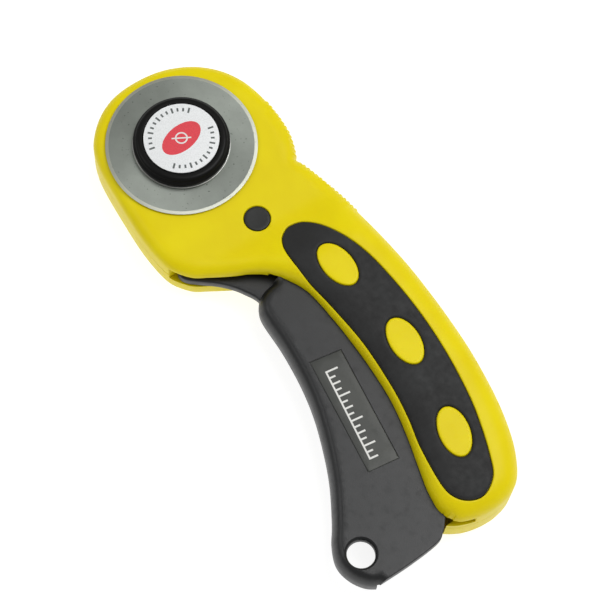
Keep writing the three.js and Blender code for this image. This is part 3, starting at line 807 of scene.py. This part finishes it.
def make_panel_scale():
    """Printed scale of plain marks along a rule."""
    low, high = TRIGGER_HALF - 0.05, TRIGGER_HALF + 0.03
    start, end = np.array((81.5, -3.0)), np.array((109.5, -7.6))
    length = np.linalg.norm(end - start)
    along = (end - start) / length
    across = np.array((-along[1], along[0]))
    foot = start - across * 1.7
    half_line = 0.55 / 2
    count = 15
    marks = []
    for i in range(count):
        tall = (3.4, 1.7, 2.3, 1.7)[i % 4]
        centre = foot + along * (length * i / (count - 1) + half_line) + across * tall / 2
        marks.append(bar(centre, across, tall / 2, half_line, low, high))
    rule = 28.9 / 2
    marks.append(bar(foot + along * rule - across * 0.25, along, rule, 0.25, low, high))
    scale = join(marks[0], *marks[1:])
    scale.name = "trigger_scale"
    finish(scale, "lever", "lever_plastic", PRINT_WHITE)


# ---------------------------------------------------------------- blade and clamp


def arc_profile(points, steps=4):
    """Profile with some corners rounded: (r, z) is sharp, and (r, z, reach) is rounded."""
    rounded = []
    for i, point in enumerate(points):
        if len(point) == 2:
            rounded.append(tuple(point))
            continue
        corner, reach = np.array(point[:2]), point[2]
        before = np.array(points[i - 1][:2]) - corner
        after = np.array(points[i + 1][:2]) - corner
        a = corner + before / np.linalg.norm(before) * reach
        b = corner + after / np.linalg.norm(after) * reach
        for t in np.linspace(0, 1, steps + 1):
            rounded.append(tuple((1 - t) ** 2 * a + 2 * t * (1 - t) * corner + t * t * b))
    return rounded


def make_blade():
    low, high = span("blade", 2)
    radius = span("blade", 0)[1]
    ground = radius - 0.95      # where the ground edge starts
    middle = (low + high) / 2
    blade = lathe("blade_disc_steel", [
        (4.0, low), (ground, low), (ground + 0.05, low + 0.004), (radius, middle - 0.015),
        (radius, middle + 0.015), (ground + 0.05, high - 0.004), (ground, high), (4.0, high),
        (4.0, low),
    ], segments=256)
    finish(blade, "blade_disc", "blade_steel", BLADE_STEEL, "blade", lift=0, angle=4)
    blade.data.materials.append(BEVEL_STEEL)
    for face in blade.data.polygons:
        face.material_index = int(math.hypot(*face.center[:2]) > ground * MM)


def make_washer():
    low, high = span("blade_washer", 2)
    radius = span("blade_washer", 0)[1] - 0.45
    washer = lathe("blade_washer_steel", arc_profile([
        (3.8, low), (radius, low, 0.12), (radius, high, 0.12), (3.8, high), (3.8, low),
    ]), segments=128)
    finish(washer, "lever", "fastener_steel", PLATED_STEEL, "blade_washer", lift=0, angle=50)


def make_knob():
    low, high = span("clamp_knob", 2)
    radius = span("clamp_knob", 0)[1]
    label_r = span("knob_label", 0)[1] - 0.35
    knob = lathe("clamp_knob_moulding", arc_profile([
        (3.5, low), (radius - 0.2, low, 0.15), (radius, low + 0.3, 0.15),
        (radius, low + 1.3, 0.25), (radius - 0.75, low + 1.9, 0.25),
        (radius - 0.85, high - 0.5, 0.2), (radius - 1.5, high, 0.4),
        (label_r + 0.35, high, 0.15), (label_r + 0.2, high - 0.35), (0, high - 0.35),
        (0, low + 1.2), (3.5, low + 1.2), (3.5, low),
    ]), segments=128)
    finish(knob, "lever", "knob_plastic", KNOB_BLACK, "clamp_knob", lift=0, angle=28)

    low, high = span("knob_label", 2)
    label = lathe("knob_label_film", arc_profile([
        (0, low), (label_r, low), (label_r, high - 0.02, 0.12), (0, high - 0.02),
    ]), segments=128)
    finish(label, "lever", "label_film", LABEL_WHITE, "knob_label", lift=0, angle=60)


def towards(degrees):
    return np.array((math.cos(math.radians(degrees)), math.sin(math.radians(degrees))))


def make_label_print():
    """Two arcs of plain index marks round a red oval with a diameter sign."""
    top = span("knob_label", 2)[1]
    tilt = 78
    oval = prism(ellipse((0, 0), (6.8, 3.95), tilt + 21, 96), top - 0.03, top - 0.008, "label_oval")
    finish(oval, "lever", "label_film", LABEL_RED, lift=0)
    count = 13
    marks = []
    for side in (0, 180):
        for i in range(count):
            outwards = towards(side + tilt + 27 - 90 + (i - (count - 1) / 2) * 10.4)
            half_long = (1.7 if i % 3 == 0 else 1.1) / 2
            marks.append(bar(outwards * 9.2, outwards, half_long, 0.28, top - 0.03, top - 0.008))
    join(marks[0], *marks[1:])
    marks[0].name = "label_marks"
    finish(marks[0], "lever", "label_film", PRINT_DARK, lift=0)
    ring = prism(circle((0, 0), 1.9), top - 0.02, top, "label_sign")
    cut(ring, prism(circle((0, 0), 1.45), top - 1, top + 1))
    join(ring, bar((0, 0), towards(tilt - 18), 2.9, 0.22, top - 0.02, top))
    finish(ring, "lever", "label_film", PRINT_WHITE, lift=0)


def make_rear_nut():
    low, high = span("rear_nut", 2)
    radius = span("rear_nut", 0)[1]
    nut = lathe("rear_nut_moulding", arc_profile([
        (0, low), (radius - 0.1, low, 0.7), (radius, high, 0.4), (0, high),
    ]), segments=160)
    count = 16
    grooves = [rod(0.8, -1, 5, (radius + 0.35) * towards(360 * i / count), 24)
               for i in range(count)]
    insert_seat = prism(circle((0, 0), 5.35, 6), 1.0, 5)
    cut(nut, *grooves, insert_seat)
    finish(nut, "nut", "knob_plastic", KNOB_BLACK, "rear_nut", lift=0)


def make_button():
    low, top = (z - PARTING for z in span("lock_button", 2))
    lug = ARM_HALF + 0.4
    button = lathe("lock_button_moulding", arc_profile([
        (0, lug + 3.1), (BUTTON_LOOK_R, lug + 3.1), (BUTTON_LOOK_R, top - 0.2, 0.4),
        (2.8, top - 0.2), (0, top - 0.4),
    ]), BUTTON)
    rear = lathe("rear_head", arc_profile([
        (0, low), (2.8, low), (BUTTON_LOOK_R, low, 0.45), (BUTTON_LOOK_R, -2.7), (0, -2.7),
    ]), BUTTON)
    key = prism(ellipse(BUTTON, (3.2, 1.0), LUG_TURN), lug, lug + 3.3)
    join(button, key, rod(0.95, -3, lug + 0.2, BUTTON), rear)
    finish(button, "lock", "button_plastic", BUTTON_BLACK, "lock_button")


def make_screws():
    low, high = span("shell_screw_1", 2)
    profile = arc_profile([
        (0, low), (1.9, low), (2.5, low + 0.7, 0.5), (2.5, low + 1.75, 0.1), (1.25, low + 1.8),
        (1.25, high - 1), (0.4, high), (0, high),
    ])
    for i, at in enumerate(SCREWS, 1):
        screw = lathe(f"shell_screw_{i}_steel", profile, at, 48)
        arms = [bar(at, along, 1.35, 0.27, low - 1, low + 0.9) for along in ((1, 0), (0, 1))]
        cut(screw, *arms)
        finish(screw, "handle", "fastener_steel", PLATED_STEEL, f"shell_screw_{i}", lift=0)


def dress_cad_nodes():
    """The pieces inside the shells keep their CAD shape."""
    for name in ("return_spring", "pivot_pin", "blade_bolt", "wave_washer", "nut_insert"):
        node = frame["nodes"][name]
        node.data.materials.clear()
        node.data.materials.append(PLATED_STEEL)


# ---------------------------------------------------------------- stage

CAMERA_ABOVE_BLADE = 592.5
CAMERA_PLACE = (232.4, -144.6)
CAMERA_RIGHT = (0.57319, 0.81859, 0.03695)
CAMERA_UP = (-0.77426, 0.52627, 0.35152)
FOCAL_WIDTHS = 2200 / 612      # focal length in picture widths


def make_camera():
    """Camera at the viewing angle of a picture taken from above; gives its right-hand direction."""
    camera = bpy.data.objects.new("camera", bpy.data.cameras.new("camera"))
    bpy.context.scene.collection.objects.link(camera)
    camera.data.lens = camera.data.sensor_width * FOCAL_WIDTHS
    camera.data.clip_start = 0.01
    right = np.array(CAMERA_RIGHT) / np.linalg.norm(CAMERA_RIGHT)
    up = np.array(CAMERA_UP) - right * np.dot(CAMERA_UP, right)
    up /= np.linalg.norm(up)
    back = np.cross(right, up)
    blade_z = sum(span("blade", 2)) / 2
    place = (*CAMERA_PLACE, blade_z + CAMERA_ABOVE_BLADE)
    matrix = Matrix.Identity(4)
    for axis, vector in enumerate((right, up, back, np.array(place) * MM)):
        for row in range(3):
            matrix[row][axis] = vector[row]
    camera.matrix_world = matrix
    bpy.context.scene.camera = camera
    return right


def area_light(name, place, size, power):
    """Round soft light that faces the middle of the handle."""
    light = bpy.data.objects.new(name, bpy.data.lights.new(name, "AREA"))
    light.data.shape = "DISK"
    light.data.size = size
    light.data.energy = power
    bpy.context.scene.collection.objects.link(light)
    light.location = place
    direction = Vector(place) - Vector((0.06, 0, 0.01))
    light.rotation_euler = direction.to_track_quat("Z", "Y").to_euler()


def make_floor():
    reach, height = 3000, -0.05
    corners = [(-reach, -reach), (reach, -reach), (reach, reach), (-reach, reach)]
    floor = new_piece("floor", [(x, y, height) for x, y in corners], [(0, 1, 2, 3)])
    n = Nodes("floor")
    white = (1, 1, 1, 1)
    floor.data.materials.append(n.set(
        Base_Color=(0.4, 0.4, 0.4, 1), Roughness=0.9, Emission_Color=white, Emission_Strength=0.85,
    ))


def make_stage(right):
    """White floor, even white surroundings, and two soft lights."""
    make_floor()
    world = bpy.data.worlds.new("studio")
    world.use_nodes = True
    background = world.node_tree.nodes["Background"]
    background.inputs["Color"].default_value = (1, 1, 1, 1)
    background.inputs["Strength"].default_value = 0.34
    bpy.context.scene.world = world
    flat_right = np.array((right[0], right[1], 0)) / np.hypot(right[0], right[1])
    flat_up = np.array((-flat_right[1], flat_right[0], 0))
    key_place = (0.06, 0, 0.6) - 0.55 * flat_right + 0.1 * flat_up
    area_light("key", key_place, 0.4, 0.8)
    area_light("top", (0.15, 0.35, 0.8), 0.7, 4.6)
    bpy.context.scene.view_settings.view_transform = "Standard"


make_shells()
make_grip("front", False)
make_grip("rear", True)
make_lever()
make_panel()
make_panel_scale()
make_blade()
make_washer()
make_knob()
make_label_print()
make_rear_nut()
make_button()
make_screws()
dress_cad_nodes()
make_stage(make_camera())
